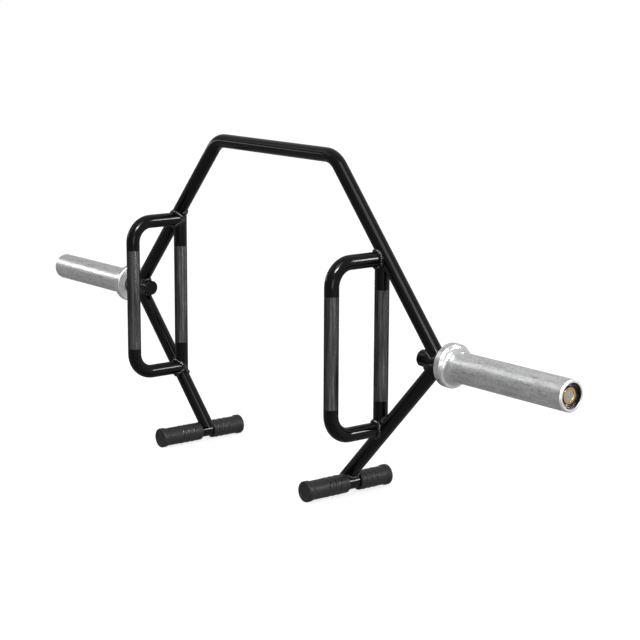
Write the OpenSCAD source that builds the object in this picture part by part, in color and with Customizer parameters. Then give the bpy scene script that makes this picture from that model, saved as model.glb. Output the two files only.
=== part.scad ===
// Open-ended trap bar: a welded frame of round bars on two feet, with two turning sleeves for plates.
// X runs along the sleeves, the lifter stands inside the frame facing +Y or -Y, and Z is up.
// The origin is on the floor, under the middle of the whole bar's outline.

/* [Frame bars] */
// Diameter of every bar of the frame, over its coating
bar_d = 25; // [22:0.5:28]
// Gap between a bar's shaped end and the bar that it is welded to
cope_gap = 0.15; // [0.1:0.05:0.3]
// Depth of the knurled zones' plain surface below the coated bar
knurl_depth = 0.3; // [0.2:0.05:0.5]
// Loss of radius where a bar is bent
bend_thinning = 0.05; // [0.03:0.01:0.2]

/* [Weld beads] */
// Length of a bead's leg along each of the two bars that it joins
weld_leg = 4.5; // [3:0.25:5.5]
// How far a bead bulges out between its two toes
weld_crown = 1; // [0.5:0.1:1.5]
// Gap between a bead and the bars
weld_gap = 0.1; // [0.08:0.01:0.2]

/* [Yoke] */
// Length of the top bar, between the corners of its centre line
top_bar_l = 340; // [300:5:380]
// Height of the top bar's centre line above the sleeves' axis
yoke_rise = 306.6; // [280:0.2:330]
// Radius of the yoke's two bends, on the centre line
yoke_bend_r = 48; // [40:1:70]

/* [Sleeve line] */
// Height of the sleeves' axis above the floor
axis_h = 267; // [255:1:285]
// Distance between the two points where the bars of the frame meet the sleeves' axis
joint_span = 886; // [860:2:910]
// Diameter of the shafts that carry the sleeves
shaft_d = 28; // [26:0.5:30]
// Length of each shaft inboard of the point where the bars meet it
stub_l = 44; // [36:1:55]

/* [Lower struts and feet] */
// Distance between the centre lines of the two foot bars
foot_span = 440; // [420:2:470]
// How far inboard of the foot bar the strut's centre line comes down
strut_toe_in = 18; // [12:1:20]
// Depth below the foot bar's top at which the overhanging part of the strut's end is cut level
strut_seat = 1.5; // [1:0.25:3]
// Reach of the feet in front of the frame, to the end of the rubber
foot_front = 101; // [90:1:115]
// Reach of the feet behind the frame, to the end of the rubber
foot_rear = 80.5; // [75:0.5:95]
// Bare length of foot bar that shows between the two rubber grips
foot_bare_l = 26; // [24:1:32]

/* [Rubber foot grips] */
// Diameter of the rubber's body
rubber_d = 33; // [31:0.5:34]
// Diameter of the flange at the outer end, which stands on the floor
flange_d = 36; // [35:0.5:40]
// Length of the flange
flange_l = 9; // [7:0.5:12]
// Thickness of the closed outer end
rubber_end_t = 4; // [3:0.5:6]
// Number of raised rings round the body
ring_count = 3; // [2:1:4]
// Distance from one raised ring to the next
ring_pitch = 12; // [8:0.5:12]
// Distance from a front grip's inner end to the nearest raised ring
ring_inset = 19; // [16:0.5:22]
// The same distance on a rear grip, which is shorter
rear_ring_inset = 11; // [9:0.5:14]
// Width of a raised ring
ring_w = 3.5; // [3:0.5:5]
// Height of a raised ring above the body
ring_h = 0.5; // [0.3:0.1:1]
// Gap between the rubber and the foot bar
rubber_gap = 0.05; // [0.05:0.05:0.2]

/* [Hand grips] */
// Distance between the centre lines of the two straight low grips
grip_span = 593; // [570:1:620]
// Reach of the high grips in front of the frame, to their centre line
high_reach = 106; // [95:1:120]
// Radius of the bends of the high grips, on the centre line
high_bend_r = 38; // [30:1:42]
// Drop of a high grip's upper leg below the yoke's centre line, where it is welded on
upper_leg_drop = 16; // [12:0.5:20]
// Rise of a high grip's lower leg above the strut's centre line, where it is welded on
lower_leg_rise = 12.7; // [10:0.1:18]
// Length of the knurled zones
knurl_l = 187; // [150:1:195]
// Height of the middle of the knurled zones above the sleeves' axis
knurl_mid = 3.5; // [-5:0.5:10]

/* [Sleeves and collars] */
// Outer diameter of a sleeve, which takes plates with a 50 mm hole
sleeve_d = 50; // [49:0.1:50.5]
// Inner diameter of a sleeve
sleeve_bore_d = 40; // [38:0.5:42]
// Length of a sleeve with its collar
sleeve_l = 266; // [240:2:420]
// Distance from the meeting point of the bars to the collar
collar_offset = 21; // [19:0.5:30]
// Diameter of a collar
collar_d = 72; // [68:1:90]
// Thickness of a collar
collar_t = 14; // [10:0.5:18]
// Diameter of the turned seat that the collar fits on
collar_seat_d = 48; // [46:0.5:48.5]
// Radius of the fillet between the collar and the sleeve
collar_fillet_r = 9; // [4:0.5:9.5]
// Thickness of the shoulder that the collar rests against
shoulder_t = 1; // [0.8:0.1:2]
// Width of the chamfers on the collar's rim
collar_chamfer = 1.5; // [0.5:0.25:2.5]
// Width of the chamfer round the sleeve's outer end
sleeve_chamfer = 2; // [1:0.25:3]

/* [Bushings, washers and rings] */
// Length of each bronze bushing
bushing_l = 30; // [20:1:40]
// Radial running gap between the shaft and its bushings
running_gap = 0.05; // [0.02:0.01:0.08]
// Thickness of the inner bushing's flange
bushing_flange_t = 2; // [1.5:0.25:3]
// Diameter of the inner bushing's flange
bushing_flange_d = 42; // [41:0.5:46]
// Gap along the axis between the pieces that turn and the pieces that don't
end_float = 0.3; // [0.2:0.05:0.6]
// Diameter of the stop ring on the shaft
stop_ring_d = 38; // [34:0.5:42]
// Thickness of the stop ring
stop_ring_t = 7; // [5:0.5:8]
// Thickness of the steel washer at the outer end
washer_t = 2.2; // [1.5:0.1:3]
// Radial gap between the steel washer and the sleeve's bore
washer_gap = 0.5; // [0.3:0.1:1]
// Thickness of the snap ring
snap_ring_t = 1.7; // [1.2:0.1:2]
// Radial width of the snap ring
snap_ring_w = 3.2; // [2.5:0.1:4]
// Depth of the snap ring's groove in the shaft
groove_depth = 1.2; // [0.8:0.1:1.6]
// Length of the shaft beyond its snap ring
shaft_tail_l = 5; // [4:0.5:8]
// Depth of the shaft's end below the sleeve's mouth
mouth_depth = 5; // [3:0.5:8]

/* [Shaft end] */
// Diameter of the brass ring in the shaft's end
end_ring_d = 26; // [24:0.25:26]
// Thickness of the brass ring
end_ring_t = 2; // [1.5:0.25:3]
// Diameter of the plain disc inside the brass ring
end_disc_d = 17; // [14:0.5:19]
// Thickness of the plain disc
end_disc_t = 1.4; // [1:0.1:1.5]
// Gap round pieces that are pressed together
seat_gap = 0.02; // [0.01:0.01:0.05]

/* [Hidden] */
$fn = 96;
bar_r = bar_d / 2;
shaft_r = shaft_d / 2;
rubber_r = rubber_d / 2;
flange_r = flange_d / 2;

// The frame's plane stands behind the origin, so that the outline's middle is at y = 0.
plane_y = (high_reach + bar_r - foot_rear) / 2;
foot_h = flange_r;

// Corners of the frame's centre lines on the right-hand side, as [x, z]
top_corner = [top_bar_l / 2, axis_h + yoke_rise];
joint = [joint_span / 2, axis_h];
toe = [foot_span / 2 - strut_toe_in, foot_h];
grip_x = grip_span / 2;
bend_lap = 0.5;

// Angle of a line of the frame above the X axis, and its height at a given x
function slope(a, b) = atan2(b[1] - a[1], b[0] - a[0]);
function line_z(a, b, x) = a[1] + (b[1] - a[1]) * (x - a[0]) / (b[0] - a[0]);

yoke_fall = -slope(top_corner, joint);
yoke_tangent_l = yoke_bend_r * tan(yoke_fall / 2);
yoke_bend_x = top_corner[0] - yoke_tangent_l;
strut_rise = slope(toe, joint);
yoke_z_at_grip = line_z(top_corner, joint, grip_x);
strut_z_at_grip = line_z(toe, joint, grip_x);
upper_leg_z = yoke_z_at_grip - upper_leg_drop;
lower_leg_z = strut_z_at_grip + lower_leg_rise;
knurl_z = axis_h + knurl_mid;

// Places along the sleeves' axis, on the right-hand side
collar_x = joint[0] + collar_offset;
shoulder_x = collar_x + collar_t;
mouth_x = collar_x + sleeve_l;
shaft_end_x = mouth_x - mouth_depth;
snap_ring_x = shaft_end_x - shaft_tail_l - snap_ring_t;
washer_x = snap_ring_x - washer_t;
outer_bushing_x = washer_x - end_float - bushing_l;
stop_ring_x = collar_x - bushing_flange_t - end_float - stop_ring_t;
shoulder_r = min(sleeve_d / 2 + collar_fillet_r, collar_d / 2 - collar_chamfer - 0.5);

frame_black = "#1c1d1f";
rubber_grey = "#37393b";
zinc = "#b9bcbd";
bronze = "#a9793a";
brass = "#d9a94e";
steel = "#8b8f92";

// Puts a right-hand piece on the left
module on_left() {
    mirror([1, 0, 0]) children();
}

// Stands a piece in the frame's plane
module in_plane() {
    translate([0, plane_y, 0]) children();
}

// Turns a piece drawn along Z to lie on the sleeves' axis, pointing outboard, with its start at x
module on_axis(x) {
    translate([x, plane_y, axis_h]) rotate([0, 90, 0]) children();
}

// Straight bar in the frame's plane, from point a to point b, both [x, z]
module plane_bar(a, b, d = bar_d) {
    translate([a[0], 0, a[1]])
        rotate([0, 90 - slope(a, b), 0])
            cylinder(d = d, h = norm(b - a));
}

// Cutters that shape the end of one bar to the side of another
module shaft_cutter() {
    translate([joint[0] - stub_l - 1, 0, axis_h])
        rotate([0, 90, 0])
            cylinder(d = shaft_d + 2 * cope_gap, h = stub_l + collar_offset);
}

module yoke_cutter() {
    plane_bar(top_corner, joint, bar_d + 2 * cope_gap);
}

module strut_cutter() {
    plane_bar(toe, joint, bar_d + 2 * cope_gap);
}

module low_grip_cutter() {
    translate([grip_x, 0, strut_z_at_grip])
        cylinder(d = bar_d + 2 * cope_gap, h = yoke_z_at_grip - strut_z_at_grip);
}

// Bend of a bar in the XZ plane about its centre [x, z], turning by sweep degrees from the angle start.
// The bar is a little thinner there, and the straight bars run into the bend by bend_lap.
module plane_bend(centre, radius, start, sweep) {
    translate([centre[0], 0, centre[1]])
        rotate([90, 0, 0])
            rotate([0, 0, start])
                rotate_extrude(angle = sweep)
                    translate([radius, 0])
                        circle(d = bar_d - 2 * bend_thinning);
}

// One end of the yoke: the bend and the sloping side, which ends at the sleeve joint
module yoke_side() {
    down = [cos(yoke_fall), -sin(yoke_fall)];
    plane_bend([yoke_bend_x, top_corner[1] - yoke_bend_r], yoke_bend_r, 90 - yoke_fall, yoke_fall);
    plane_bar(top_corner + (yoke_tangent_l - bend_lap) * down, joint);
}

// Top bar and both sloping sides, bent from one bar
module yoke_bar() {
    level_l = 2 * (yoke_bend_x + bend_lap);
    color(frame_black)
        in_plane()
            difference() {
                union() {
                    plane_bar([-level_l / 2, top_corner[1]], [level_l / 2, top_corner[1]]);
                    yoke_side();
                    on_left() yoke_side();
                }
                shaft_cutter();
                on_left() shaft_cutter();
            }
}

// Strut from the sleeve joint down to the foot. Its end is shaped to the foot bar, and where it
// overhangs the bar on the inboard side it is cut level.
module lower_strut() {
    color(frame_black)
        in_plane()
            difference() {
                plane_bar(toe, joint);
                shaft_cutter();
                translate([foot_span / 2, foot_bare_l, foot_h])
                    rotate([90, 0, 0])
                        cylinder(d = bar_d + 2 * cope_gap, h = 2 * foot_bare_l);
                translate([toe[0] - 2 * bar_d, -bar_d, foot_h - 2 * bar_d])
                    cube([2 * bar_d + strut_toe_in, 2 * bar_d, 2 * bar_d + bar_r - strut_seat]);
            }
}

module lower_strut_left() { on_left() lower_strut(); }
module lower_strut_right() { lower_strut(); }

// Shaft of a sleeve, with a groove for its snap ring and a recess in its outer end
module sleeve_shaft() {
    shaft_l = shaft_end_x - joint[0] + stub_l;
    edge = 1;
    color(frame_black)
        on_axis(joint[0] - stub_l)
            difference() {
                rotate_extrude()
                    polygon([
                        [0, 0], [shaft_r - edge, 0], [shaft_r, edge],
                        [shaft_r, shaft_l - edge], [shaft_r - edge, shaft_l], [0, shaft_l]
                    ]);
                translate([0, 0, shaft_l - shaft_tail_l - snap_ring_t])
                    difference() {
                        cylinder(r = shaft_r + 1, h = snap_ring_t);
                        translate([0, 0, -1])
                            cylinder(r = shaft_r - groove_depth, h = snap_ring_t + 2);
                    }
                translate([0, 0, shaft_l - end_ring_t])
                    cylinder(d = end_ring_d + 2 * seat_gap, h = end_ring_t + 1);
            }
}

module sleeve_shaft_left() { on_left() sleeve_shaft(); }
module sleeve_shaft_right() { sleeve_shaft(); }

// Bar drawn up the Z axis, a little thinner over the knurled zone
module knurled_bar(z0, z1) {
    k0 = knurl_z - knurl_l / 2;
    k1 = knurl_z + knurl_l / 2;
    translate([0, 0, z0]) cylinder(d = bar_d, h = k0 - z0);
    translate([0, 0, k0]) cylinder(d = bar_d - 2 * knurl_depth, h = knurl_l);
    translate([0, 0, k1]) cylinder(d = bar_d, h = z1 - k1);
}

module low_grip() {
    color(frame_black)
        in_plane()
            difference() {
                translate([grip_x, 0, 0])
                    knurled_bar(strut_z_at_grip, yoke_z_at_grip);
                yoke_cutter();
                strut_cutter();
            }
}

module low_grip_left() { on_left() low_grip(); }
module low_grip_right() { low_grip(); }

// Leg of a high grip with its bend: the leg runs forward from the frame, and the bend turns up or down
module high_leg(z, turn) {
    straight_l = high_reach - high_bend_r;
    translate([grip_x, 0, z])
        rotate([90, 0, 0])
            cylinder(d = bar_d, h = straight_l + bend_lap);
    translate([grip_x, 0, 0])
        rotate([0, 0, 90])
            plane_bend([-straight_l, z + turn * high_bend_r], high_bend_r, turn > 0 ? 180 : 90, 90);
}

module high_grip() {
    color(frame_black)
        in_plane()
            difference() {
                union() {
                    high_leg(upper_leg_z, -1);
                    high_leg(lower_leg_z, 1);
                    translate([grip_x, -high_reach, 0])
                        knurled_bar(
                            lower_leg_z + high_bend_r - bend_lap,
                            upper_leg_z - high_bend_r + bend_lap
                        );
                }
                low_grip_cutter();
                yoke_cutter();
                strut_cutter();
            }
}

module high_grip_left() { on_left() high_grip(); }
module high_grip_right() { high_grip(); }

module foot_bar() {
    front = foot_front - rubber_end_t - rubber_gap;
    rear = foot_rear - rubber_end_t - rubber_gap;
    color(frame_black)
        in_plane()
            translate([foot_span / 2, rear, foot_h])
                rotate([90, 0, 0])
                    cylinder(d = bar_d, h = front + rear);
}

module foot_bar_left() { on_left() foot_bar(); }
module foot_bar_right() { foot_bar(); }

// Half outline of a rubber grip of length l, as [radius, distance from the inner end]
function ring_outline(z) = [
    for (i = [0 : 6]) [rubber_r + ring_h * sin(i * 30), z - ring_w / 2 + i * ring_w / 6]
];

function rubber_outline(l, inset) = let(
    bore_r = bar_r + rubber_gap,
    lip = 1.5,
    step = 6,
    edge = 2
) concat(
    [[bore_r, 0]],
    [for (i = [0 : 4]) [rubber_r - lip * (1 - sin(i * 22.5)), lip * (1 - cos(i * 22.5))]],
    [for (n = [0 : ring_count - 1]) each ring_outline(inset + n * ring_pitch)],
    [for (i = [0 : 6]) [
        rubber_r + (flange_r - rubber_r) * (1 - cos(i * 15)),
        l - flange_l - step + step * sin(i * 15)
    ]],
    [for (i = [0 : 6]) [flange_r - edge * (1 - cos(i * 15)), l - edge + edge * sin(i * 15)]],
    [[0, l], [0, l - rubber_end_t], [bore_r, l - rubber_end_t]]
);

// Rubber grip drawn up the Z axis, with a shallow dish in its closed end
module rubber_grip(l, inset) {
    dish_r = flange_r - 6;
    dish_depth = 1;
    color(rubber_grey)
        difference() {
            rotate_extrude() polygon(rubber_outline(l, inset));
            translate([0, 0, l - dish_depth])
                cylinder(r1 = dish_r - dish_depth, r2 = dish_r, h = dish_depth + 0.01);
        }
}

module front_foot_grip() {
    in_plane()
        translate([foot_span / 2, -foot_bare_l / 2, foot_h])
            rotate([90, 0, 0])
                rubber_grip(foot_front - foot_bare_l / 2, ring_inset);
}

module rear_foot_grip() {
    in_plane()
        translate([foot_span / 2, foot_bare_l / 2, foot_h])
            rotate([-90, 0, 0])
                rubber_grip(foot_rear - foot_bare_l / 2, rear_ring_inset);
}

module front_foot_grip_left() { on_left() front_foot_grip(); }
module front_foot_grip_right() { front_foot_grip(); }
module rear_foot_grip_left() { on_left() rear_foot_grip(); }
module rear_foot_grip_right() { rear_foot_grip(); }

// Bars as [a point of the centre line, direction, radius], in the frame's plane on the right-hand side
yoke_line = [[joint[0], 0, joint[1]], [cos(yoke_fall), 0, -sin(yoke_fall)], bar_r];
strut_line = [[joint[0], 0, joint[1]], [cos(strut_rise), 0, sin(strut_rise)], bar_r];
shaft_line = [[joint[0], 0, joint[1]], [1, 0, 0], shaft_r];
low_grip_line = [[grip_x, 0, 0], [0, 0, 1], bar_r];
foot_line = [[foot_span / 2, 0, foot_h], [0, 1, 0], bar_r];
upper_leg_line = [[grip_x, 0, upper_leg_z], [0, 1, 0], bar_r];
lower_leg_line = [[grip_x, 0, lower_leg_z], [0, 1, 0], bar_r];
strut_end_line = [[toe[0], 0, toe[1]], -strut_line[1], bar_r];
low_grip_end_line = [[grip_x, 0, 0], [0, 0, -1], bar_r];

weld_step_a = 10;
root_gap = 0.35;
far = 1000;

function unit(v) = v / norm(v);
// Vector square to a bar's centre line that leads from it to the point p
function off_line(p, bar) = let(a = p - bar[0]) a - (a * bar[1]) * bar[1];
// Distance from q along w to the side of a bar
function reach(q, w, bar) = let(
    a = off_line(q, bar),
    f = w - (w * bar[1]) * bar[1],
    b = a * f,
    d = b * b - (f * f) * (a * a - bar[2] * bar[2])
) d < 0 ? far : (-b - sqrt(d)) / (f * f);
// Point p, moved out of every bar of the list that it lies in
function outside(p, bars, i = 0) = i == len(bars) ? p : let(
    v = off_line(p, bars[i]),
    short = bars[i][2] + weld_gap - norm(v)
) outside(short > 0 ? p + short * unit(v) : p, bars, i + 1);

// Section of a bead at the angle a round the branch bar, which ends on the bars of the list. The bead
// runs from a toe on the branch over its crown to a toe on the other bar, and back through its root.
function bead_section(branch, bars, u, a) = let(
    n = cos(a) * u + sin(a) * cross(branch[1], u),
    q = branch[0] + branch[2] * n,
    hits = [for (bar = bars) reach(q, branch[1], bar)],
    corner = q + min(hits) * branch[1],
    m = unit(off_line(corner, bars[search(min(hits), hits)[0]])),
    away = unit(n - (n * m) * m),
    toe_a = corner - weld_leg * branch[1],
    toe_b = corner + weld_leg * away,
    crown = weld_crown * unit(n + m),
    root = corner + root_gap * (n + m) / (1 + n * m)
) [for (p = [toe_a, 0.75 * toe_a + 0.25 * toe_b + crown, 0.25 * toe_a + 0.75 * toe_b + crown, toe_b, root])
    outside(outside(p, concat([branch], bars)), concat([branch], bars))];

// Bead from the angle a0 to a1 round the branch; with a full turn it closes on itself. The angles count
// from u towards the cross product of the branch's direction and u.
module weld_bead(branch, bars, u, a0, a1) {
    closed = a1 - a0 == 360;
    steps = round((a1 - a0) / weld_step_a);
    count = closed ? steps : steps + 1;
    sections = [for (i = [0 : count - 1]) bead_section(branch, bars, u, a0 + (a1 - a0) * i / steps)];
    sides = [for (i = [0 : steps - 1], k = [0 : 4])
        let(p = 5 * i, q = 5 * ((i + 1) % count), l = (k + 1) % 5)
            each [[p + k, q + l, q + k], [p + k, p + l, q + l]]];
    ends = closed ? [] : let(e = 5 * steps) [
        [0, 4, 3], [0, 3, 1], [1, 3, 2],
        [e, e + 3, e + 4], [e, e + 1, e + 3], [e + 1, e + 2, e + 3]
    ];
    color(frame_black)
        in_plane()
            polyhedron([for (s = sections) each s], concat(sides, ends));
}

module weld_yoke_shaft() { weld_bead(yoke_line, [shaft_line], [sin(yoke_fall), 0, cos(yoke_fall)], 5, 365); }
module weld_strut_shaft() { weld_bead(strut_line, [shaft_line], [sin(strut_rise), 0, -cos(strut_rise)], 5, 365); }

// The beads round a low grip's ends stop on either side of the high grip's leg.
module weld_low_grip_top() { weld_bead(low_grip_line, [yoke_line], [1, 0, 0], -25, 165); }
module weld_low_grip_foot() { weld_bead(low_grip_end_line, [strut_line], [1, 0, 0], -155, 25); }

module weld_high_grip_top() { weld_bead(upper_leg_line, [low_grip_line, yoke_line], [1, 0, 0], 5, 365); }
module weld_high_grip_foot() { weld_bead(lower_leg_line, [low_grip_line, strut_line], [1, 0, 0], 5, 365); }

// The bead round the strut's foot has the outboard side only, between the two rubber grips.
module weld_strut_foot() { weld_bead(strut_end_line, [foot_line], [sin(strut_rise), 0, -cos(strut_rise)], -45, 45); }

module weld_yoke_shaft_left() { on_left() weld_yoke_shaft(); }
module weld_yoke_shaft_right() { weld_yoke_shaft(); }
module weld_strut_shaft_left() { on_left() weld_strut_shaft(); }
module weld_strut_shaft_right() { weld_strut_shaft(); }
module weld_low_grip_top_left() { on_left() weld_low_grip_top(); }
module weld_low_grip_top_right() { weld_low_grip_top(); }
module weld_low_grip_foot_left() { on_left() weld_low_grip_foot(); }
module weld_low_grip_foot_right() { weld_low_grip_foot(); }
module weld_high_grip_top_left() { on_left() weld_high_grip_top(); }
module weld_high_grip_top_right() { weld_high_grip_top(); }
module weld_high_grip_foot_left() { on_left() weld_high_grip_foot(); }
module weld_high_grip_foot_right() { weld_high_grip_foot(); }
module weld_strut_foot_left() { on_left() weld_strut_foot(); }
module weld_strut_foot_right() { weld_strut_foot(); }

// Loading sleeve: a tube with a turned seat and a filleted shoulder for the collar
module sleeve() {
    tube_r = sleeve_d / 2;
    bore_r = sleeve_bore_d / 2;
    seat_r = collar_seat_d / 2;
    fillet_r = shoulder_r - tube_r;
    fillet_z = collar_t + shoulder_t + fillet_r;
    edge = 0.6;
    color(zinc)
        on_axis(collar_x)
            rotate_extrude()
                polygon(concat(
                    [[bore_r, 0], [seat_r, 0], [seat_r, collar_t], [shoulder_r, collar_t]],
                    [for (i = [0 : 9]) [
                        shoulder_r - fillet_r * sin(i * 10),
                        fillet_z - fillet_r * cos(i * 10)
                    ]],
                    [
                        [tube_r, sleeve_l - sleeve_chamfer],
                        [tube_r - sleeve_chamfer, sleeve_l],
                        [bore_r + edge, sleeve_l],
                        [bore_r, sleeve_l - edge]
                    ]
                ));
}

module sleeve_left() { on_left() sleeve(); }
module sleeve_right() { sleeve(); }

// Collar: the ring that plates rest against
module collar() {
    rim_r = collar_d / 2;
    seat_r = collar_seat_d / 2 + seat_gap;
    color(zinc)
        on_axis(collar_x)
            rotate_extrude()
                polygon([
                    [seat_r, 0], [rim_r - collar_chamfer, 0], [rim_r, collar_chamfer],
                    [rim_r, collar_t - collar_chamfer], [rim_r - collar_chamfer, collar_t],
                    [seat_r, collar_t]
                ]);
}

module collar_left() { on_left() collar(); }
module collar_right() { collar(); }

// Bronze bushing with a flange that takes the side load against the stop ring
module inner_bushing() {
    inner_r = shaft_r + running_gap;
    outer_r = sleeve_bore_d / 2 - seat_gap;
    color(bronze)
        on_axis(collar_x)
            rotate_extrude()
                polygon([
                    [inner_r, -bushing_flange_t], [bushing_flange_d / 2, -bushing_flange_t],
                    [bushing_flange_d / 2, 0], [outer_r, 0],
                    [outer_r, bushing_l], [inner_r, bushing_l]
                ]);
}

module inner_bushing_left() { on_left() inner_bushing(); }
module inner_bushing_right() { inner_bushing(); }

module outer_bushing() {
    color(bronze)
        on_axis(outer_bushing_x)
            difference() {
                cylinder(d = sleeve_bore_d - 2 * seat_gap, h = bushing_l);
                translate([0, 0, -1])
                    cylinder(r = shaft_r + running_gap, h = bushing_l + 2);
            }
}

module outer_bushing_left() { on_left() outer_bushing(); }
module outer_bushing_right() { outer_bushing(); }

module stop_ring() {
    color(zinc)
        on_axis(stop_ring_x)
            difference() {
                cylinder(d = stop_ring_d, h = stop_ring_t);
                translate([0, 0, -1])
                    cylinder(r = shaft_r + seat_gap, h = stop_ring_t + 2);
            }
}

module stop_ring_left() { on_left() stop_ring(); }
module stop_ring_right() { stop_ring(); }

module washer() {
    color(steel)
        on_axis(washer_x)
            difference() {
                cylinder(r = sleeve_bore_d / 2 - washer_gap, h = washer_t);
                translate([0, 0, -1])
                    cylinder(r = shaft_r + seat_gap, h = washer_t + 2);
            }
}

module washer_left() { on_left() washer(); }
module washer_right() { washer(); }

// Snap ring: open at one side, with two drilled lugs for the pliers
module snap_ring() {
    inner_r = shaft_r - groove_depth + seat_gap;
    outer_r = inner_r + snap_ring_w;
    lug_r = 2;
    lug_angle = 16;
    eye_d = 1.6;
    color(steel)
        on_axis(snap_ring_x)
            difference() {
                union() {
                    cylinder(r = outer_r, h = snap_ring_t);
                    for (a = [-lug_angle, lug_angle])
                        rotate([0, 0, a])
                            translate([outer_r + 0.4, 0, 0])
                                cylinder(r = lug_r, h = snap_ring_t);
                }
                translate([0, 0, -1])
                    cylinder(r = inner_r, h = snap_ring_t + 2);
                translate([0, 0, -1])
                    linear_extrude(snap_ring_t + 2)
                        polygon([
                            [0, 0],
                            2 * outer_r * [cos(lug_angle / 2), -sin(lug_angle / 2)],
                            2 * outer_r * [cos(lug_angle / 2), sin(lug_angle / 2)]
                        ]);
                for (a = [-lug_angle, lug_angle])
                    rotate([0, 0, a])
                        translate([outer_r + 0.4, 0, -1])
                            cylinder(d = eye_d, h = snap_ring_t + 2);
            }
}

module snap_ring_left() { on_left() snap_ring(); }
module snap_ring_right() { snap_ring(); }

module end_ring() {
    edge = 0.4;
    inner_r = end_disc_d / 2 + seat_gap;
    outer_r = end_ring_d / 2;
    color(brass)
        on_axis(shaft_end_x - end_ring_t)
            rotate_extrude()
                polygon([
                    [inner_r, 0], [outer_r, 0], [outer_r, end_ring_t - edge],
                    [outer_r - edge, end_ring_t], [inner_r + edge, end_ring_t],
                    [inner_r, end_ring_t - edge]
                ]);
}

module end_ring_left() { on_left() end_ring(); }
module end_ring_right() { end_ring(); }

module end_disc() {
    color(zinc)
        on_axis(shaft_end_x - end_ring_t)
            cylinder(d = end_disc_d, h = end_disc_t);
}

module end_disc_left() { on_left() end_disc(); }
module end_disc_right() { end_disc(); }

yoke_bar();
lower_strut_left();
lower_strut_right();
sleeve_shaft_left();
sleeve_shaft_right();
low_grip_left();
low_grip_right();
high_grip_left();
high_grip_right();
foot_bar_left();
foot_bar_right();
front_foot_grip_left();
front_foot_grip_right();
rear_foot_grip_left();
rear_foot_grip_right();
weld_yoke_shaft_left();
weld_yoke_shaft_right();
weld_strut_shaft_left();
weld_strut_shaft_right();
weld_low_grip_top_left();
weld_low_grip_top_right();
weld_low_grip_foot_left();
weld_low_grip_foot_right();
weld_high_grip_top_left();
weld_high_grip_top_right();
weld_high_grip_foot_left();
weld_high_grip_foot_right();
weld_strut_foot_left();
weld_strut_foot_right();
sleeve_left();
sleeve_right();
collar_left();
collar_right();
inner_bushing_left();
inner_bushing_right();
outer_bushing_left();
outer_bushing_right();
stop_ring_left();
stop_ring_right();
washer_left();
washer_right();
snap_ring_left();
snap_ring_right();
end_ring_left();
end_ring_right();
end_disc_left();
end_disc_right();
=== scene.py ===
import math
import bpy
from mathutils import Matrix, Vector


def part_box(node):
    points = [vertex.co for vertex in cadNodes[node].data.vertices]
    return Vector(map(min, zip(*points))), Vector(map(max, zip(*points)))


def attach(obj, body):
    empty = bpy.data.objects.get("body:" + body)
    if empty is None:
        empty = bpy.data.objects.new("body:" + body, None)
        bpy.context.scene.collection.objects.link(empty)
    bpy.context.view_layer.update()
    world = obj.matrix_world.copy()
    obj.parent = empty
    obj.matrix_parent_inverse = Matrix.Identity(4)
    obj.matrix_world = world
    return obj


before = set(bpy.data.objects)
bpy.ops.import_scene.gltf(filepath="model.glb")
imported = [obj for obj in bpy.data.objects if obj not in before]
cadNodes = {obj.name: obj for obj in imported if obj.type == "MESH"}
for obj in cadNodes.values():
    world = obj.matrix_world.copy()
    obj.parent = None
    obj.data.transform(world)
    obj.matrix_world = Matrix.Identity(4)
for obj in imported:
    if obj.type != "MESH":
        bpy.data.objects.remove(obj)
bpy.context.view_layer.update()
print("frame loaded:", len(cadNodes), "nodes")

# Camera of the photograph, in metres and pixels
cameraSetup = {
    "location": (2.4885, -1.8430, 0.8776),
    "forward": (-0.76980, 0.60840, -0.19301),
    "up": (-0.15462, 0.11563, 0.98118),
    "focalPixels": 1775.7,
    "imagePixels": 640,
    "sensorMm": 36.0,
    "clipEnd": 100.0,
}


def placeCamera(setup):
    data = bpy.data.cameras.new("camera")
    data.sensor_width = setup["sensorMm"]
    data.lens = setup["focalPixels"] / setup["imagePixels"] * setup["sensorMm"]
    data.clip_end = setup["clipEnd"]
    cam = bpy.data.objects.new("camera", data)
    bpy.context.scene.collection.objects.link(cam)
    back = -Vector(setup["forward"]).normalized()
    right = Vector(setup["up"]).cross(back).normalized()
    turn = Matrix((right, back.cross(right), back)).transposed().to_4x4()
    cam.matrix_world = Matrix.Translation(setup["location"]) @ turn
    bpy.context.scene.camera = cam


placeCamera(cameraSetup)
print("camera placed")


# Adds a node and sets its inputs: a value is set, and an output of another node is linked
def addNode(tree, kind, inputs=None, **settings):
    node = tree.nodes.new(kind)
    for setting, value in settings.items():
        setattr(node, setting, value)
    for name, value in (inputs or {}).items():
        if isinstance(value, bpy.types.NodeSocket):
            tree.links.new(value, node.inputs[name])
        else:
            node.inputs[name].default_value = value
    return node


def calc(tree, operation, first, second=0.0, third=0.0):
    node = addNode(tree, "ShaderNodeMath", {0: first, 1: second, 2: third}, operation=operation)
    return node.outputs[0]


# A finish starts from a shader with its plain values, which the patterns are linked to afterwards
def newFinish(name, plain):
    material = bpy.data.materials.new(name)
    material.use_nodes = True
    tree = material.node_tree
    tree.nodes.clear()
    shader = addNode(tree, "ShaderNodeBsdfPrincipled", plain)
    addNode(tree, "ShaderNodeOutputMaterial", {"Surface": shader.outputs[0]})
    return material, tree, shader


def objectPoint(tree, stretch=(1, 1, 1), centre=(0, 0, 0)):
    coords = addNode(tree, "ShaderNodeTexCoord").outputs["Object"]
    shift = addNode(tree, "ShaderNodeVectorMath", {0: coords, 1: centre}, operation="SUBTRACT")
    scaled = addNode(tree, "ShaderNodeVectorMath", {0: shift.outputs[0], 1: stretch}, operation="MULTIPLY")
    return scaled.outputs[0]


def noise(tree, point, scale, detail):
    node = addNode(tree, "ShaderNodeTexNoise", {"Vector": point, "Scale": scale, "Detail": detail})
    return node.outputs["Fac"]


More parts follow.
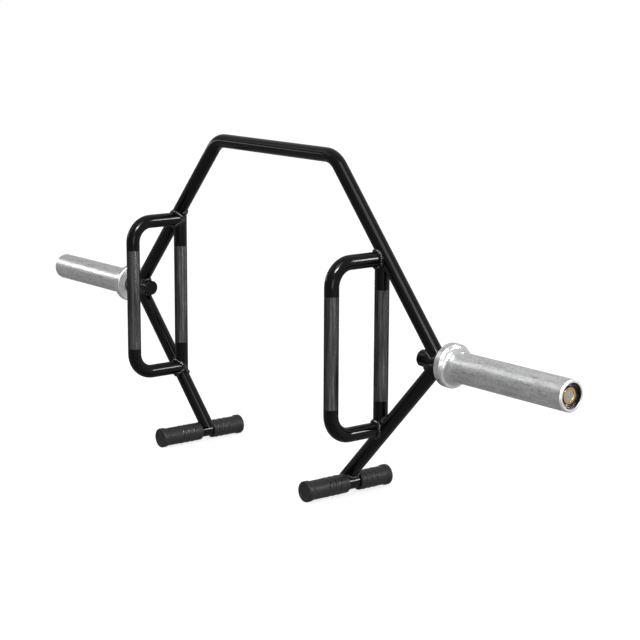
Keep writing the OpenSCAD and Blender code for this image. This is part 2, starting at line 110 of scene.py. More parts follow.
# Maps a pattern's low and high values to two numbers
def spread(tree, pattern, low, high, fromLow=0.3, fromHigh=0.7):
    node = addNode(tree, "ShaderNodeMapRange", {
        "Value": pattern,
        "From Min": fromLow,
        "From Max": fromHigh,
        "To Min": low,
        "To Max": high,
    })
    return node.outputs[0]


def mixColour(tree, factor, first, second):
    node = tree.nodes.new("ShaderNodeMix")
    node.data_type = "RGBA"
    tree.links.new(factor, node.inputs[0])
    node.inputs[6].default_value = first
    node.inputs[7].default_value = second
    return node.outputs[2]


# Adds relief: height patterns, each with its depth in metres
def relief(tree, shader, layers):
    normal = None
    for pattern, depth in layers:
        bump = addNode(tree, "ShaderNodeBump", {"Height": pattern, "Distance": depth, "Strength": 1.0})
        if normal:
            tree.links.new(normal, bump.inputs["Normal"])
        normal = bump.outputs["Normal"]
    tree.links.new(normal, shader.inputs["Normal"])


# Gloss black powder coat: fine orange peel over slow waves left by the flow of the powder
coat = {
    "name": "powderCoat",
    "colour": (0.0018, 0.0018, 0.0021, 1),
    "specular": 0.21,
    "roughLow": 0.07,
    "roughHigh": 0.16,
    "cloudScale": 18.0,
    "waveScale": 45.0,
    "waveDepth": 0.00012,
    "peelScale": 620.0,
    "peelDepth": 0.000006,
}
# The coat lies thicker on the welds, over their uneven metal
weldCoat = {
    "name": "weldCoat",
    "colour": (0.0018, 0.0018, 0.0021, 1),
    "specular": 0.5,
    "roughLow": 0.06,
    "roughHigh": 0.12,
    "cloudScale": 18.0,
    "waveScale": 240.0,
    "waveDepth": 0.0005,
    "peelScale": 620.0,
    "peelDepth": 0.000006,
}


def coatFinish(look):
    material, tree, shader = newFinish(look["name"], {
        "Base Color": look["colour"],
        "Metallic": 0.0,
        "Specular IOR Level": look["specular"],
    })
    point = objectPoint(tree)
    clouds = noise(tree, point, look["cloudScale"], detail=3.0)
    rough = spread(tree, clouds, look["roughLow"], look["roughHigh"])
    tree.links.new(rough, shader.inputs["Roughness"])
    relief(tree, shader, [
        (noise(tree, point, look["waveScale"], detail=1.0), look["waveDepth"]),
        (noise(tree, point, look["peelScale"], detail=2.0), look["peelDepth"]),
    ])
    return material


# Zinc plating. Drawn tube is cloudy, with streaks and fine dark scratches along it. Turned faces have
# fine rings round the sleeve's axis: on a sleeve they are its ends, by the distance from the middle.
# Inside the bore the plating's colour is darkened: painted shade of the recess.
zinc = {
    "name": "zincPlate",
    "dark": (0.58, 0.583, 0.586, 1),
    "light": (0.92, 0.923, 0.926, 1),
    "roughLow": 0.27,
    "roughHigh": 0.38,
    "cloudScale": 230.0,
    "cloudDepth": 0.000012,
    "cloudShare": 0.5,
    "mixFrom": 0.35,
    "mixTo": 0.62,
    "streakStretch": (24.0, 230.0, 230.0),
    "scratchStretch": (34.0, 560.0, 560.0),
    "scratchFrom": 0.6,
    "scratchTo": 0.72,
    "scratchShade": 0.5,
}
turnedZinc = {
    "name": "turnedZinc",
    "dark": (0.74, 0.743, 0.746, 1),
    "light": (0.93, 0.933, 0.936, 1),
    "roughLow": 0.2,
    "roughHigh": 0.25,
    "backRough": 0.6,
    "mouthRough": 0.5,
    "cloudScale": 70.0,
    "cloudShare": 0.6,
    "mixFrom": 0.36,
    "mixTo": 0.62,
    "ringScale": 900.0,
    "ringDepth": 0.0000005,
    # Colour factor inside the bore: painted shade
    "borePaintedShade": 0.3,
}
sleeveEnds = {
    "axisPoint": (0.0, 0.019, 0.267),
    "back": 0.4642,
    "shoulder": 0.488,
    "mouth": 0.728,
    "fade": 0.002,
    "boreRadius": 0.0201,
    "boreEdge": 0.0205,
}


# Colour of the plating: clouds and a second pattern, each with its share, darkened by a factor: scratches on
# drawn tube, painted shade inside the bore on turned faces
def platedColour(tree, clouds, others, shade, look):
    rest = calc(tree, "MULTIPLY", others, 1.0 - look["cloudShare"])
    both = calc(tree, "MULTIPLY_ADD", clouds, look["cloudShare"], rest)
    lightness = spread(tree, both, 0.0, 1.0, look["mixFrom"], look["mixTo"])
    colour = mixColour(tree, lightness, look["dark"], look["light"])
    return addNode(tree, "ShaderNodeVectorMath", {0: colour, "Scale": shade}, operation="SCALE").outputs[0]


def drawnPattern(tree, look):
    clouds = noise(tree, objectPoint(tree), look["cloudScale"], detail=4.0)
    streaks = noise(tree, objectPoint(tree, look["streakStretch"]), 1.0, detail=3.0)
    scratches = noise(tree, objectPoint(tree, look["scratchStretch"]), 1.0, detail=2.0)
    shade = spread(tree, scratches, 1.0, look["scratchShade"], look["scratchFrom"], look["scratchTo"])
    rough = spread(tree, streaks, look["roughHigh"], look["roughLow"])
    height = calc(tree, "MULTIPLY", clouds, look["cloudDepth"])
    return platedColour(tree, clouds, streaks, shade, look), rough, height


# Distance from the middle of the object along the sleeves' axis, and distance from that axis
def axisPlace(tree, ends):
    spot = objectPoint(tree, (1, 1, 1), ends["axisPoint"])
    across = addNode(tree, "ShaderNodeVectorMath", {0: spot, 1: (0, 1, 1)}, operation="MULTIPLY")
    radius = addNode(tree, "ShaderNodeVectorMath", {0: across.outputs[0]}, operation="LENGTH")
    along = addNode(tree, "ShaderNodeSeparateXYZ", {"Vector": spot}).outputs["X"]
    return calc(tree, "ABSOLUTE", along), radius.outputs["Value"]


def turnedPattern(tree, look, ends):
    reach, radius = axisPlace(tree, ends)
    turned = addNode(tree, "ShaderNodeCombineXYZ", {"X": reach, "Y": radius})
    rings = noise(tree, turned.outputs[0], look["ringScale"], detail=2.0)
    clouds = noise(tree, objectPoint(tree), look["cloudScale"], detail=3.0)
    # Painted shade: the colour is darkened inside the bore, where the recess lies in shade
    shade = spread(tree, radius, look["borePaintedShade"], 1.0, ends["boreRadius"], ends["boreEdge"])
    rough = spread(tree, rings, look["roughHigh"], look["roughLow"])
    backRough = spread(tree, reach, look["backRough"], 0.0, ends["back"], ends["back"] + ends["fade"])
    mouthRough = spread(tree, reach, 0.0, look["mouthRough"], ends["mouth"] - ends["fade"], ends["mouth"])
    rough = calc(tree, "MAXIMUM", calc(tree, "MAXIMUM", rough, backRough), mouthRough)
    height = calc(tree, "MULTIPLY", rings, look["ringDepth"])
    return platedColour(tree, clouds, rings, shade, look), rough, height


def blend(tree, factor, first, second):
    gap = calc(tree, "SUBTRACT", second, first)
    return calc(tree, "MULTIPLY_ADD", gap, factor, first)


def turnedZincFinish(look, ends):
    material, tree, shader = newFinish(look["name"], {"Metallic": 1.0})
    colour, rough, height = turnedPattern(tree, look, ends)
    tree.links.new(colour, shader.inputs["Base Color"])
    tree.links.new(rough, shader.inputs["Roughness"])
    relief(tree, shader, [(height, 1.0)])
    return material


def sleeveFinish(look, turnedLook, ends):
    material, tree, shader = newFinish(look["name"], {"Metallic": 1.0})
    drawnColour, drawnRough, drawnHeight = drawnPattern(tree, look)
    turnedColour, turnedRough, turnedHeight = turnedPattern(tree, turnedLook, ends)
    reach, radius = axisPlace(tree, ends)
    inner = spread(tree, reach, 1.0, 0.0, ends["shoulder"], ends["shoulder"] + ends["fade"])
    outer = spread(tree, reach, 0.0, 1.0, ends["mouth"] - ends["fade"], ends["mouth"])
    # The bore takes the turned colour, and with it the painted shade inside the recess
    bore = spread(tree, radius, 1.0, 0.0, ends["boreRadius"], ends["boreEdge"])
    isTurned = calc(tree, "MAXIMUM", calc(tree, "MAXIMUM", inner, outer), bore)
    colour = addNode(tree, "ShaderNodeMix", {
        0: isTurned,
        4: drawnColour,
        5: turnedColour,
    }, data_type="VECTOR")
    tree.links.new(colour.outputs[1], shader.inputs["Base Color"])
    tree.links.new(blend(tree, isTurned, drawnRough, turnedRough), shader.inputs["Roughness"])
    relief(tree, shader, [(blend(tree, isTurned, drawnHeight, turnedHeight), 1.0)])
    return material


# Moulded black rubber with a dull skin
rubber = {
    "colour": (0.0112, 0.0113, 0.0117, 1),
    "specular": 0.38,
    "roughLow": 0.42,
    "roughHigh": 0.54,
    "cloudScale": 60.0,
    "grainScale": 700.0,
    "grainDepth": 0.000006,
    "planeY": 0.019,
    "frontRing": 0.032,
    "rearRing": 0.024,
    "ringPitch": 0.012,
    "lastRing": 2.0,
    "ringCrest": 0.0012,
    "ringEnd": 0.0034,
    "ringRough": 0.17,
}


# 1 on the raised rings, which are polished by wear, and 0 elsewhere. The rings are found by their
# distance from the frame's plane: the first one, and from there one each pitch.
def ringMask(tree, point, look):
    y = addNode(tree, "ShaderNodeSeparateXYZ", {"Vector": point}).outputs["Y"]
    offset = calc(tree, "SUBTRACT", y, look["planeY"])
    isRear = calc(tree, "GREATER_THAN", offset, 0.0)
    firstRing = calc(tree, "MULTIPLY_ADD", isRear, look["rearRing"] - look["frontRing"], look["frontRing"])
    past = calc(tree, "SUBTRACT", calc(tree, "ABSOLUTE", offset), firstRing)
    nearest = calc(tree, "ROUND", calc(tree, "DIVIDE", past, look["ringPitch"]))
    ring = calc(tree, "MINIMUM", calc(tree, "MAXIMUM", nearest, 0.0), look["lastRing"])
    away = calc(tree, "SUBTRACT", past, calc(tree, "MULTIPLY", ring, look["ringPitch"]))
    return spread(tree, calc(tree, "ABSOLUTE", away), 1.0, 0.0, look["ringCrest"], look["ringEnd"])


def rubberFinish(look):
    material, tree, shader = newFinish("footRubber", {
        "Base Color": look["colour"],
        "Metallic": 0.0,
        "Specular IOR Level": look["specular"],
    })
    point = objectPoint(tree)
    clouds = noise(tree, point, look["cloudScale"], detail=3.0)
    rough = spread(tree, clouds, look["roughLow"], look["roughHigh"])
    polished = blend(tree, ringMask(tree, point, look), rough, look["ringRough"])
    tree.links.new(polished, shader.inputs["Roughness"])
    relief(tree, shader, [(noise(tree, point, look["grainScale"], detail=2.0), look["grainDepth"])])
    return material


# Bare steel of the knurled zones, darkened by handling
knurlSteel = {
    "dark": (0.034, 0.034, 0.036, 1),
    "light": (0.155, 0.155, 0.16, 1),
    "edgeTint": (0.02, 0.02, 0.02, 1),
    "roughLow": 0.22,
    "roughHigh": 0.36,
    "streakStretch": (240.0, 240.0, 12.0),
}


def knurlFinish(look):
    material, tree, shader = newFinish("knurledSteel", {
        "Metallic": 1.0,
        "Specular Tint": look["edgeTint"],
    })
    streaks = noise(tree, objectPoint(tree, look["streakStretch"]), 1.0, detail=3.0)
    colour = mixColour(tree, spread(tree, streaks, 0.0, 1.0), look["dark"], look["light"])
    tree.links.new(colour, shader.inputs["Base Color"])
    rough = spread(tree, streaks, look["roughHigh"], look["roughLow"])
    tree.links.new(rough, shader.inputs["Roughness"])
    return material


# Turned metals of the small pieces
turnedMetals = {
    "bronzeBushing": {"colour": (0.2, 0.172, 0.138, 1), "rough": 0.45},
    "brassRing": {"colour": (0.84, 0.53, 0.18, 1), "rough": 0.28},
    "brightSteel": {"colour": (0.48, 0.49, 0.50, 1), "rough": 0.28},
    "turnedDisc": {"colour": (0.66, 0.67, 0.69, 1), "rough": 0.25},
}
turnedMarks = {
    "stretch": (300.0, 300.0, 300.0),
    "depth": 0.000006,
    "shade": 0.75,
}


def turnedFinish(name, look, marks):
    material, tree, shader = newFinish(name, {"Metallic": 1.0, "Roughness": look["rough"]})
    pattern = noise(tree, objectPoint(tree, marks["stretch"]), 1.0, detail=2.0)
    worn = tuple(c * marks["shade"] for c in look["colour"][:3]) + (1,)
    colour = mixColour(tree, spread(tree, pattern, 0.0, 1.0), worn, look["colour"])
    tree.links.new(colour, shader.inputs["Base Color"])
    relief(tree, shader, [(pattern, marks["depth"])])
    return material


finishes = {
    "coat": coatFinish(coat),
    "weldCoat": coatFinish(weldCoat),
    "zinc": sleeveFinish(zinc, turnedZinc, sleeveEnds),
    "turnedZinc": turnedZincFinish(turnedZinc, sleeveEnds),
    "rubber": rubberFinish(rubber),
    "knurl": knurlFinish(knurlSteel),
}
for metalName, metal in turnedMetals.items():
    finishes[metalName] = turnedFinish(metalName, metal, turnedMarks)

# Finish of each CAD node, by the start of its name
nodeFinishes = {
    "yoke_bar": "coat",
    "lower_strut": "coat",
    "sleeve_shaft": "coat",
    "low_grip": "coat",
    "high_grip": "coat",
    "foot_bar": "coat",
    "stop_ring": "turnedZinc",
    "weld": "weldCoat",
    "front_foot_grip": "rubber",
    "rear_foot_grip": "rubber",
    "sleeve_left": "zinc",
    "sleeve_right": "zinc",
    "collar": "turnedZinc",
    "inner_bushing": "bronzeBushing",
    "outer_bushing": "bronzeBushing",
    "washer": "brightSteel",
    "snap_ring": "brightSteel",
    "end_ring": "brassRing",
    "end_disc": "turnedDisc",
}
for nodeName, node in cadNodes.items():
    for start, finish in nodeFinishes.items():
        if nodeName.startswith(start):
            for index in range(len(node.data.materials)):
                node.data.materials[index] = finishes[finish]
print("finishes on the CAD nodes")

# Knurled zones of the four grips: low pyramids on a diamond lattice, cut from a thin shell round the bar
knurl = {
    "zoneBottom": 0.177,
    "zoneLength": 0.187,
    "tipRadius": 0.01244,
    "rootRadius": 0.01226,
    "wallRadius": 0.0118,
    "cellsAround": 84,
    "cellsAlong": 208,
    "mergeDistance": 0.000001,
}
knurlNodes = ["low_grip_left", "low_grip_right", "high_grip_left", "high_grip_right"]


def newNodeGroup(name, sizes):
    tree = bpy.data.node_groups.new(name, "GeometryNodeTree")
    tree.interface.new_socket("Geometry", in_out="INPUT", socket_type="NodeSocketGeometry")
    for label, kind in sizes:
        tree.interface.new_socket(label, in_out="INPUT", socket_type="NodeSocket" + kind)
    tree.interface.new_socket("Geometry", in_out="OUTPUT", socket_type="NodeSocketGeometry")
    return tree, addNode(tree, "NodeGroupInput").outputs


# Closes a tree: instances made real, faces smooth or flat, and the finish set
def finishTree(tree, geometry, material, smooth):
    real = addNode(tree, "GeometryNodeRealizeInstances", {"Geometry": geometry})
    shade = addNode(tree, "GeometryNodeSetShadeSmooth", {"Geometry": real.outputs[0], "Shade Smooth": smooth})
    painted = addNode(tree, "GeometryNodeSetMaterial", {"Geometry": shade.outputs[0], "Material": material})
    addNode(tree, "NodeGroupOutput", {"Geometry": painted.outputs[0]})


def knurlTree(mergeDistance):
    tree, given = newNodeGroup("knurlDiamonds", [
        ("Grip Centre", "Vector"),
        ("Zone Length", "Float"),
        ("Tip Radius", "Float"),
        ("Root Radius", "Float"),
        ("Wall Radius", "Float"),
        ("Cells Around", "Int"),
        ("Cells Along", "Int"),
        ("Finish", "Material"),
    ])
    around, along = given["Cells Around"], given["Cells Along"]
    grid = addNode(tree, "GeometryNodeMeshGrid", {
        "Size X": 1.0,
        "Size Y": 1.0,
        "Vertices X": calc(tree, "ADD", around, 1.0),
        "Vertices Y": calc(tree, "ADD", along, 4.0),
    })
    place = addNode(tree, "ShaderNodeSeparateXYZ", {
        "Vector": addNode(tree, "GeometryNodeInputPosition").outputs[0],
    })
    # Column and row of each point. Row 0 and the last two rows make the inner wall, so there are
    # three more rows than cells along.
    column = calc(tree, "ROUND", calc(tree, "MULTIPLY", calc(tree, "ADD", place.outputs["X"], 0.5), around))
    lastRow = calc(tree, "ADD", along, 3.0)
    row = calc(tree, "ROUND", calc(tree, "MULTIPLY", calc(tree, "ADD", place.outputs["Y"], 0.5), lastRow))
    ring = calc(tree, "MINIMUM", calc(tree, "MAXIMUM", calc(tree, "SUBTRACT", row, 1.0), 0.0), along)
    onLast = calc(tree, "GREATER_THAN", row, calc(tree, "SUBTRACT", lastRow, 0.5))
    rise = calc(tree, "MULTIPLY", calc(tree, "DIVIDE", ring, along), calc(tree, "SUBTRACT", 1.0, onLast))
    height = calc(tree, "MULTIPLY", rise, given["Zone Length"])
    inWall = calc(
        tree, "MAXIMUM",
        calc(tree, "LESS_THAN", row, 0.5),
        calc(tree, "GREATER_THAN", row, calc(tree, "SUBTRACT", lastRow, 1.5)),
    )
    inside = calc(
        tree, "MULTIPLY",
        calc(tree, "GREATER_THAN", ring, 0.5),
        calc(tree, "LESS_THAN", ring, calc(tree, "SUBTRACT", along, 0.5)),
    )
    odd = calc(tree, "FLOORED_MODULO", calc(tree, "ADD", column, ring), 2.0)
    isTip = calc(tree, "MULTIPLY", inside, calc(tree, "LESS_THAN", odd, 0.5))
    tipRise = calc(tree, "MULTIPLY", isTip, calc(tree, "SUBTRACT", given["Tip Radius"], given["Root Radius"]))
    outer = calc(tree, "ADD", given["Root Radius"], tipRise)
    radius = calc(
        tree, "ADD",
        calc(tree, "MULTIPLY", outer, calc(tree, "SUBTRACT", 1.0, inWall)),
        calc(tree, "MULTIPLY", given["Wall Radius"], inWall),
    )
    angle = calc(tree, "MULTIPLY", calc(tree, "DIVIDE", column, around), 2 * math.pi)
    rolledSpot = addNode(tree, "ShaderNodeCombineXYZ", {
        "X": calc(tree, "MULTIPLY", radius, calc(tree, "COSINE", angle)),
        "Y": calc(tree, "MULTIPLY", radius, calc(tree, "SINE", angle)),
        "Z": height,
    })
    spot = addNode(tree, "ShaderNodeVectorMath", {
        0: rolledSpot.outputs[0],
        1: given["Grip Centre"],
    }, operation="ADD")
    rolled = addNode(tree, "GeometryNodeSetPosition", {
        "Geometry": grid.outputs[0],
        "Position": spot.outputs[0],
    })
    closed = addNode(tree, "GeometryNodeMergeByDistance", {
        "Geometry": rolled.outputs[0],
        "Distance": mergeDistance,
    })
    # The shorter diagonal of each cell joins two low points, so that every tip is a pyramid of its own
    cut = addNode(tree, "GeometryNodeTriangulate", {
        "Mesh": closed.outputs[0],
    }, quad_method="SHORTEST_DIAGONAL")
    finishTree(tree, cut.outputs[0], given["Finish"], False)
    return tree


# Runs a node group on a piece and keeps the result as a plain mesh
def makeMesh(name, tree, settings, start=None):
    piece = bpy.data.objects.new(name, start or bpy.data.meshes.new(name))
    bpy.context.scene.collection.objects.link(piece)
    modifier = piece.modifiers.new(name, "NODES")
    modifier.node_group = tree
    for item in tree.interface.items_tree:
        if item.in_out == "INPUT" and item.name in settings:
            modifier[item.identifier] = settings[item.name]
    bpy.context.view_layer.update()
    evaluated = piece.evaluated_get(bpy.context.evaluated_depsgraph_get())
    mesh = bpy.data.meshes.new_from_object(evaluated)
    piece.modifiers.remove(modifier)
    piece.data = mesh
    mesh.name = name
    return piece


diamonds = knurlTree(knurl["mergeDistance"])
for nodeName in knurlNodes:
    low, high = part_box(nodeName)
    barRadius = (high.x - low.x) / 2
    piece = makeMesh("knurl_" + nodeName, diamonds, {
        "Grip Centre": ((low.x + high.x) / 2, low.y + barRadius, knurl["zoneBottom"]),
        "Zone Length": knurl["zoneLength"],
        "Tip Radius": knurl["tipRadius"],
        "Root Radius": knurl["rootRadius"],
        "Wall Radius": knurl["wallRadius"],
        "Cells Around": knurl["cellsAround"],
        "Cells Along": knurl["cellsAlong"],
        "Finish": finishes["knurl"],
    })
    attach(piece, "frame")
print("knurling cut")

# Weld seams of the right-hand half, in metres. Each turn is the part of a bar's round that its seam
# covers, in degrees.
welds = {
    "planeY": 0.019,
    "joint": (0.443, 0.267),
    "topCorner": (0.170, 0.5736),
    "toe": (0.202, 0.018),
    "foot": (0.220, 0.018),
    "gripX": 0.2965,
    "upperLegZ": 0.41553,
    "lowerLegZ": 0.12834,
    "barRadius": 0.0125,
    "shaftRadius": 0.014,
    "leg": 0.0045,
    "stepAngle": 4,
    "wholeTurn": (2, 362),
    "gripTopTurn": (-34, 186),
    "gripFootTurn": (-174, 34),
    "strutFootTurn": (-76, 76),
    "rippleSpacing": 0.0028,
    "rippleSize": (0.0026, 0.0036, 0.0021),
    "rippleTilt": 0.5,
    "rippleJitter": 0.28,
    "rippleDetail": 2,
    "seed": 7,
}


# Points along the corner between a bar's end and the bars that it meets, and the way out of the corner.
# A bar is a point of its centre line, its direction and its radius.
def seamPoints(branch, bars, start, turn, leg, step):
    origin, along, radius = branch
    side = along.cross(start)
    points = []
    for degrees in range(turn[0], turn[1] + 1, step):
        angle = math.radians(degrees)
        normal = math.cos(angle) * start + math.sin(angle) * side
        spot = origin + radius * normal
        hits = []
        for index, (barPoint, barAlong, barRadius) in enumerate(bars):
            away = spot - barPoint
            away -= away.dot(barAlong) * barAlong
            flat = along - along.dot(barAlong) * barAlong
            half = away.dot(flat)
            rest = half * half - flat.length_squared * (away.length_squared - barRadius * barRadius)
            if rest >= 0:
                hits.append(((-half - math.sqrt(rest)) / flat.length_squared, index))
        if not hits:
            continue
        distance, index = min(hits)
        corner = spot + distance * along
        barPoint, barAlong, barRadius = bars[index]
        outward = corner - barPoint
        outward = (outward - outward.dot(barAlong) * barAlong).normalized()
        sideways = (normal - normal.dot(outward) * outward).normalized()
        middle = corner + (sideways - along) * leg / 2
        points.append((middle, (normal + outward).normalized()))
    return points


# All seams of both halves as one mesh of open lines, with the way out of each corner kept as "lift"
def seamMesh(sizes):
    def inPlane(spot):
        return Vector((spot[0], sizes["planeY"], spot[1]))

    joint, corner, toe = inPlane(sizes["joint"]), inPlane(sizes["topCorner"]), inPlane(sizes["toe"])
    radius, leg, step = sizes["barRadius"], sizes["leg"], sizes["stepAngle"]
    down, up = (joint - corner).normalized(), (joint - toe).normalized()
    across, upright, right = Vector((0, 1, 0)), Vector((0, 0, 1)), Vector((1, 0, 0))
    gripFoot = inPlane((sizes["gripX"], 0))
    yoke, strut = (joint, down, radius), (joint, up, radius)
    shaft = (joint, right, sizes["shaftRadius"])
    lowGrip = (gripFoot, upright, radius)
    upperLeg = (inPlane((sizes["gripX"], sizes["upperLegZ"])), across, radius)
    lowerLeg = (inPlane((sizes["gripX"], sizes["lowerLegZ"])), across, radius)
    footBar = (inPlane(sizes["foot"]), across, radius)
    seams = [
        (yoke, [shaft], across.cross(down), sizes["wholeTurn"]),
        (strut, [shaft], across.cross(up), sizes["wholeTurn"]),
        (lowGrip, [yoke], right, sizes["gripTopTurn"]),
        ((gripFoot, -upright, radius), [strut], right, sizes["gripFootTurn"]),
        (upperLeg, [lowGrip, yoke], right, sizes["wholeTurn"]),
        (lowerLeg, [lowGrip, strut], right, sizes["wholeTurn"]),
        ((toe, -up, radius), [footBar], across.cross(up), sizes["strutFootTurn"]),
    ]
    spots, lifts, edges = [], [], []
    for hand in (1, -1):
        for seam in seams:
            first = len(spots)
            for spot, lift in seamPoints(*seam, leg, step):
                spots.append((hand * spot.x, spot.y, spot.z))
                lifts.append((hand * lift.x, lift.y, lift.z))
            edges += [(index, index + 1) for index in range(first, len(spots) - 1)]
    mesh = bpy.data.meshes.new("weldSeams")
    mesh.from_pydata(spots, edges, [])
    attribute = mesh.attributes.new("lift", "FLOAT_VECTOR", "POINT")
    attribute.data.foreach_set("vector", [value for lift in lifts for value in lift])
    return mesh


# Ripples of a weld: flattened beads that lean over one another along the seam
def rippleTree(detail):
    tree, given = newNodeGroup("weldRipples", [
        ("Spacing", "Float"),
        ("Ripple Size", "Vector"),
        ("Tilt", "Float"),
        ("Jitter", "Float"),
        ("Seed", "Int"),
        ("Finish", "Material"),
    ])
    line = addNode(tree, "GeometryNodeMeshToCurve", {"Mesh": given["Geometry"]})
    even = addNode(tree, "GeometryNodeResampleCurve", {
        "Curve": line.outputs[0],
        "Length": given["Spacing"],
    }, mode="LENGTH")
    lift = addNode(tree, "GeometryNodeInputNamedAttribute", {"Name": "lift"}, data_type="FLOAT_VECTOR")
    tangent = addNode(tree, "GeometryNodeInputTangent")
    facing = addNode(tree, "FunctionNodeAlignRotationToVector", {"Vector": tangent.outputs[0]}, axis="X")
    upright = addNode(tree, "FunctionNodeAlignRotationToVector", {
        "Rotation": facing.outputs[0],
        "Vector": lift.outputs["Attribute"],
    }, axis="Z", pivot_axis="X")
    lean = addNode(tree, "ShaderNodeCombineXYZ", {"Y": given["Tilt"]})
    leaning = addNode(tree, "FunctionNodeRotateRotation", {
        "Rotation": upright.outputs[0],
        "Rotate By": lean.outputs[0],
    }, rotation_space="LOCAL")
    bead = addNode(tree, "GeometryNodeMeshIcoSphere", {"Radius": 1.0, "Subdivisions": detail})
    least = calc(tree, "SUBTRACT", 1.0, given["Jitter"])
    most = calc(tree, "ADD", 1.0, given["Jitter"])
    low = addNode(tree, "ShaderNodeCombineXYZ", {"X": 1.0, "Y": least, "Z": least})
    high = addNode(tree, "ShaderNodeCombineXYZ", {"X": 1.0, "Y": most, "Z": most})
    uneven = addNode(tree, "FunctionNodeRandomValue", {
        0: low.outputs[0],
        1: high.outputs[0],
        "Seed": given["Seed"],
    }, data_type="FLOAT_VECTOR")
    size = addNode(tree, "ShaderNodeVectorMath", {
        0: given["Ripple Size"],
        1: uneven.outputs[0],
    }, operation="MULTIPLY")
    row = addNode(tree, "GeometryNodeInstanceOnPoints", {
        "Points": even.outputs[0],
        "Instance": bead.outputs[0],
        "Rotation": leaning.outputs[0],
        "Scale": size.outputs[0],
    })
    finishTree(tree, row.outputs[0], given["Finish"], True)
    return tree


ripples = makeMesh("weld_ripples", rippleTree(welds["rippleDetail"]), {
    "Spacing": welds["rippleSpacing"],
    "Ripple Size": welds["rippleSize"],
    "Tilt": welds["rippleTilt"],
    "Jitter": welds["rippleJitter"],
    "Seed": welds["seed"],
    "Finish": finishes["weldCoat"],
}, seamMesh(welds))
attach(ripples, "frame")
print("weld ripples laid:", len(ripples.data.polygons), "faces")

# Studio: a pale floor, a soft world and softboxes
studio = {
    "floorSize": 60.0,
    "floorColour": (0.95, 0.95, 0.95, 1),
    "floorShade": 0.4,
    "floorGlow": 0.77,
    "white": (1, 1, 1, 1),
    "ambient": 0.7,
}
# Backdrop that gloss and metal show: it brightens towards this direction, from one level to the next
backdrop = {
    "towards": (0.45, 0.45, 0.8),
    "reach": 1.3,
    "levels": [(0.0, 0.28), (0.3, 0.28), (0.45, 0.34), (0.6, 0.54), (0.75, 0.62), (1.0, 0.64)],
}
# Softboxes: centre, the point they face, width and height in metres, and brightness. The small bright
# one shows only as a gleam on gloss and metal.
softboxes = {
    "leftBox": {"centre": (-1.7, -0.7, 0.74), "aim": (-0.3, 0, 0.45), "size": (1.3, 0.2), "glow": 2.8},
    "backStrip": {"centre": (3.1, 2.45, 1.6), "aim": (0, 0, 0.4), "size": (0.4, 0.95), "glow": 34.0},
    "frontBox": {"centre": (3.1, -1.55, 0.5), "aim": (0, 0, 0.35), "size": (1.4, 1.1), "glow": 2.8},
    "keyBox": {"centre": (1.4, -0.75, 2.75), "aim": (0.3, 0, 0.5), "size": (1.5, 1.2), "glow": 3.0},
    "sideBox": {"centre": (-1.5, -1.3, 1.95), "aim": (0.5, 0, 0.27), "size": (1.3, 1.1), "glow": 0.66},
    "sparkBox": {
        "centre": (2.1, -1.2, 2.45),
        "aim": (0, 0, 0.35),
        "size": (1.15, 0.62),
        "glow": 60.0,
        "glossOnly": True,
    },
}


def layFloor(look):
    half = look["floorSize"] / 2
    mesh = bpy.data.meshes.new("floor")
    corners = [(-half, -half, 0), (half, -half, 0), (half, half, 0), (-half, half, 0)]
    mesh.from_pydata(corners, [], [(0, 1, 2, 3)])
    floor = bpy.data.objects.new("floor", mesh)
    bpy.context.scene.collection.objects.link(floor)
    material = bpy.data.materials.new("paleFloor")
    material.use_nodes = True
    tree = material.node_tree
    tree.nodes.clear()
    rays = addNode(tree, "ShaderNodeLightPath").outputs
    paper = addNode(tree, "ShaderNodeBsdfDiffuse", {"Color": look["floorColour"]})
    white = addNode(tree, "ShaderNodeEmission", {"Color": look["white"], "Strength": look["floorGlow"]})
    seen = calc(tree, "MAXIMUM", rays["Is Camera Ray"], rays["Is Transmission Ray"])
    dimmed = addNode(tree, "ShaderNodeMixShader", {0: look["floorShade"], 2: paper.outputs[0]})
    shown = addNode(tree, "ShaderNodeAddShader", {0: dimmed.outputs[0], 1: white.outputs[0]})
    mixed = addNode(tree, "ShaderNodeMixShader", {0: seen, 1: paper.outputs[0], 2: shown.outputs[0]})
    addNode(tree, "ShaderNodeOutputMaterial", {"Surface": mixed.outputs[0]})
    mesh.materials.append(material)
    floor.visible_glossy = False


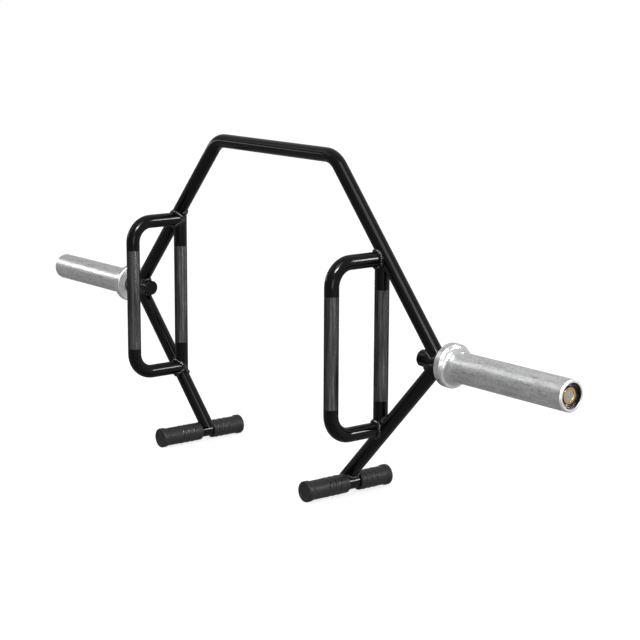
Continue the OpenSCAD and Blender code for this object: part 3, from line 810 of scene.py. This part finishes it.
def lightWorld(look, gloss):
    world = bpy.data.worlds.new("studioWorld")
    bpy.context.scene.world = world
    world.use_nodes = True
    tree = world.node_tree
    tree.nodes.clear()
    rays = addNode(tree, "ShaderNodeLightPath").outputs
    direction = addNode(tree, "ShaderNodeTexCoord").outputs["Generated"]
    lean = addNode(tree, "ShaderNodeVectorMath", {0: direction, 1: gloss["towards"]}, operation="DOT_PRODUCT")
    place = spread(tree, lean.outputs["Value"], 0.0, 1.0, -gloss["reach"], gloss["reach"])
    ramp = addNode(tree, "ShaderNodeValToRGB", {"Fac": place})
    stops = ramp.color_ramp.elements
    stops.remove(stops[1])
    for index, (position, level) in enumerate(gloss["levels"]):
        stop = stops[0] if index == 0 else stops.new(position)
        stop.position = position
        stop.color = (level, level, level, 1)
    backdropLight = addNode(tree, "ShaderNodeBackground", {"Color": ramp.outputs["Color"], "Strength": 1.0})
    white = addNode(tree, "ShaderNodeBackground", {"Color": look["white"], "Strength": 1.0})
    ambient = addNode(tree, "ShaderNodeBackground", {"Color": look["white"], "Strength": look["ambient"]})
    lit = addNode(tree, "ShaderNodeMixShader", {
        0: rays["Is Glossy Ray"],
        1: ambient.outputs[0],
        2: backdropLight.outputs[0],
    })
    seen = calc(tree, "MAXIMUM", rays["Is Camera Ray"], rays["Is Transmission Ray"])
    shown = addNode(tree, "ShaderNodeMixShader", {0: seen, 1: lit.outputs[0], 2: white.outputs[0]})
    addNode(tree, "ShaderNodeOutputWorld", {"Surface": shown.outputs[0]})


def hangSoftbox(name, box):
    data = bpy.data.lights.new(name, "AREA")
    data.shape = "RECTANGLE"
    data.size, data.size_y = box["size"]
    data.energy = box["glow"] * math.pi * data.size * data.size_y
    lamp = bpy.data.objects.new(name, data)
    bpy.context.scene.collection.objects.link(lamp)
    facing = (Vector(box["aim"]) - Vector(box["centre"])).to_track_quat("-Z", "Y")
    lamp.matrix_world = Matrix.Translation(box["centre"]) @ facing.to_matrix().to_4x4()
    lamp.visible_camera = False
    lamp.visible_diffuse = not box.get("glossOnly", False)


layFloor(studio)
lightWorld(studio, backdrop)
for boxName, softbox in softboxes.items():
    hangSoftbox(boxName, softbox)
bpy.context.scene.view_settings.view_transform = "Standard"
print("studio lit")
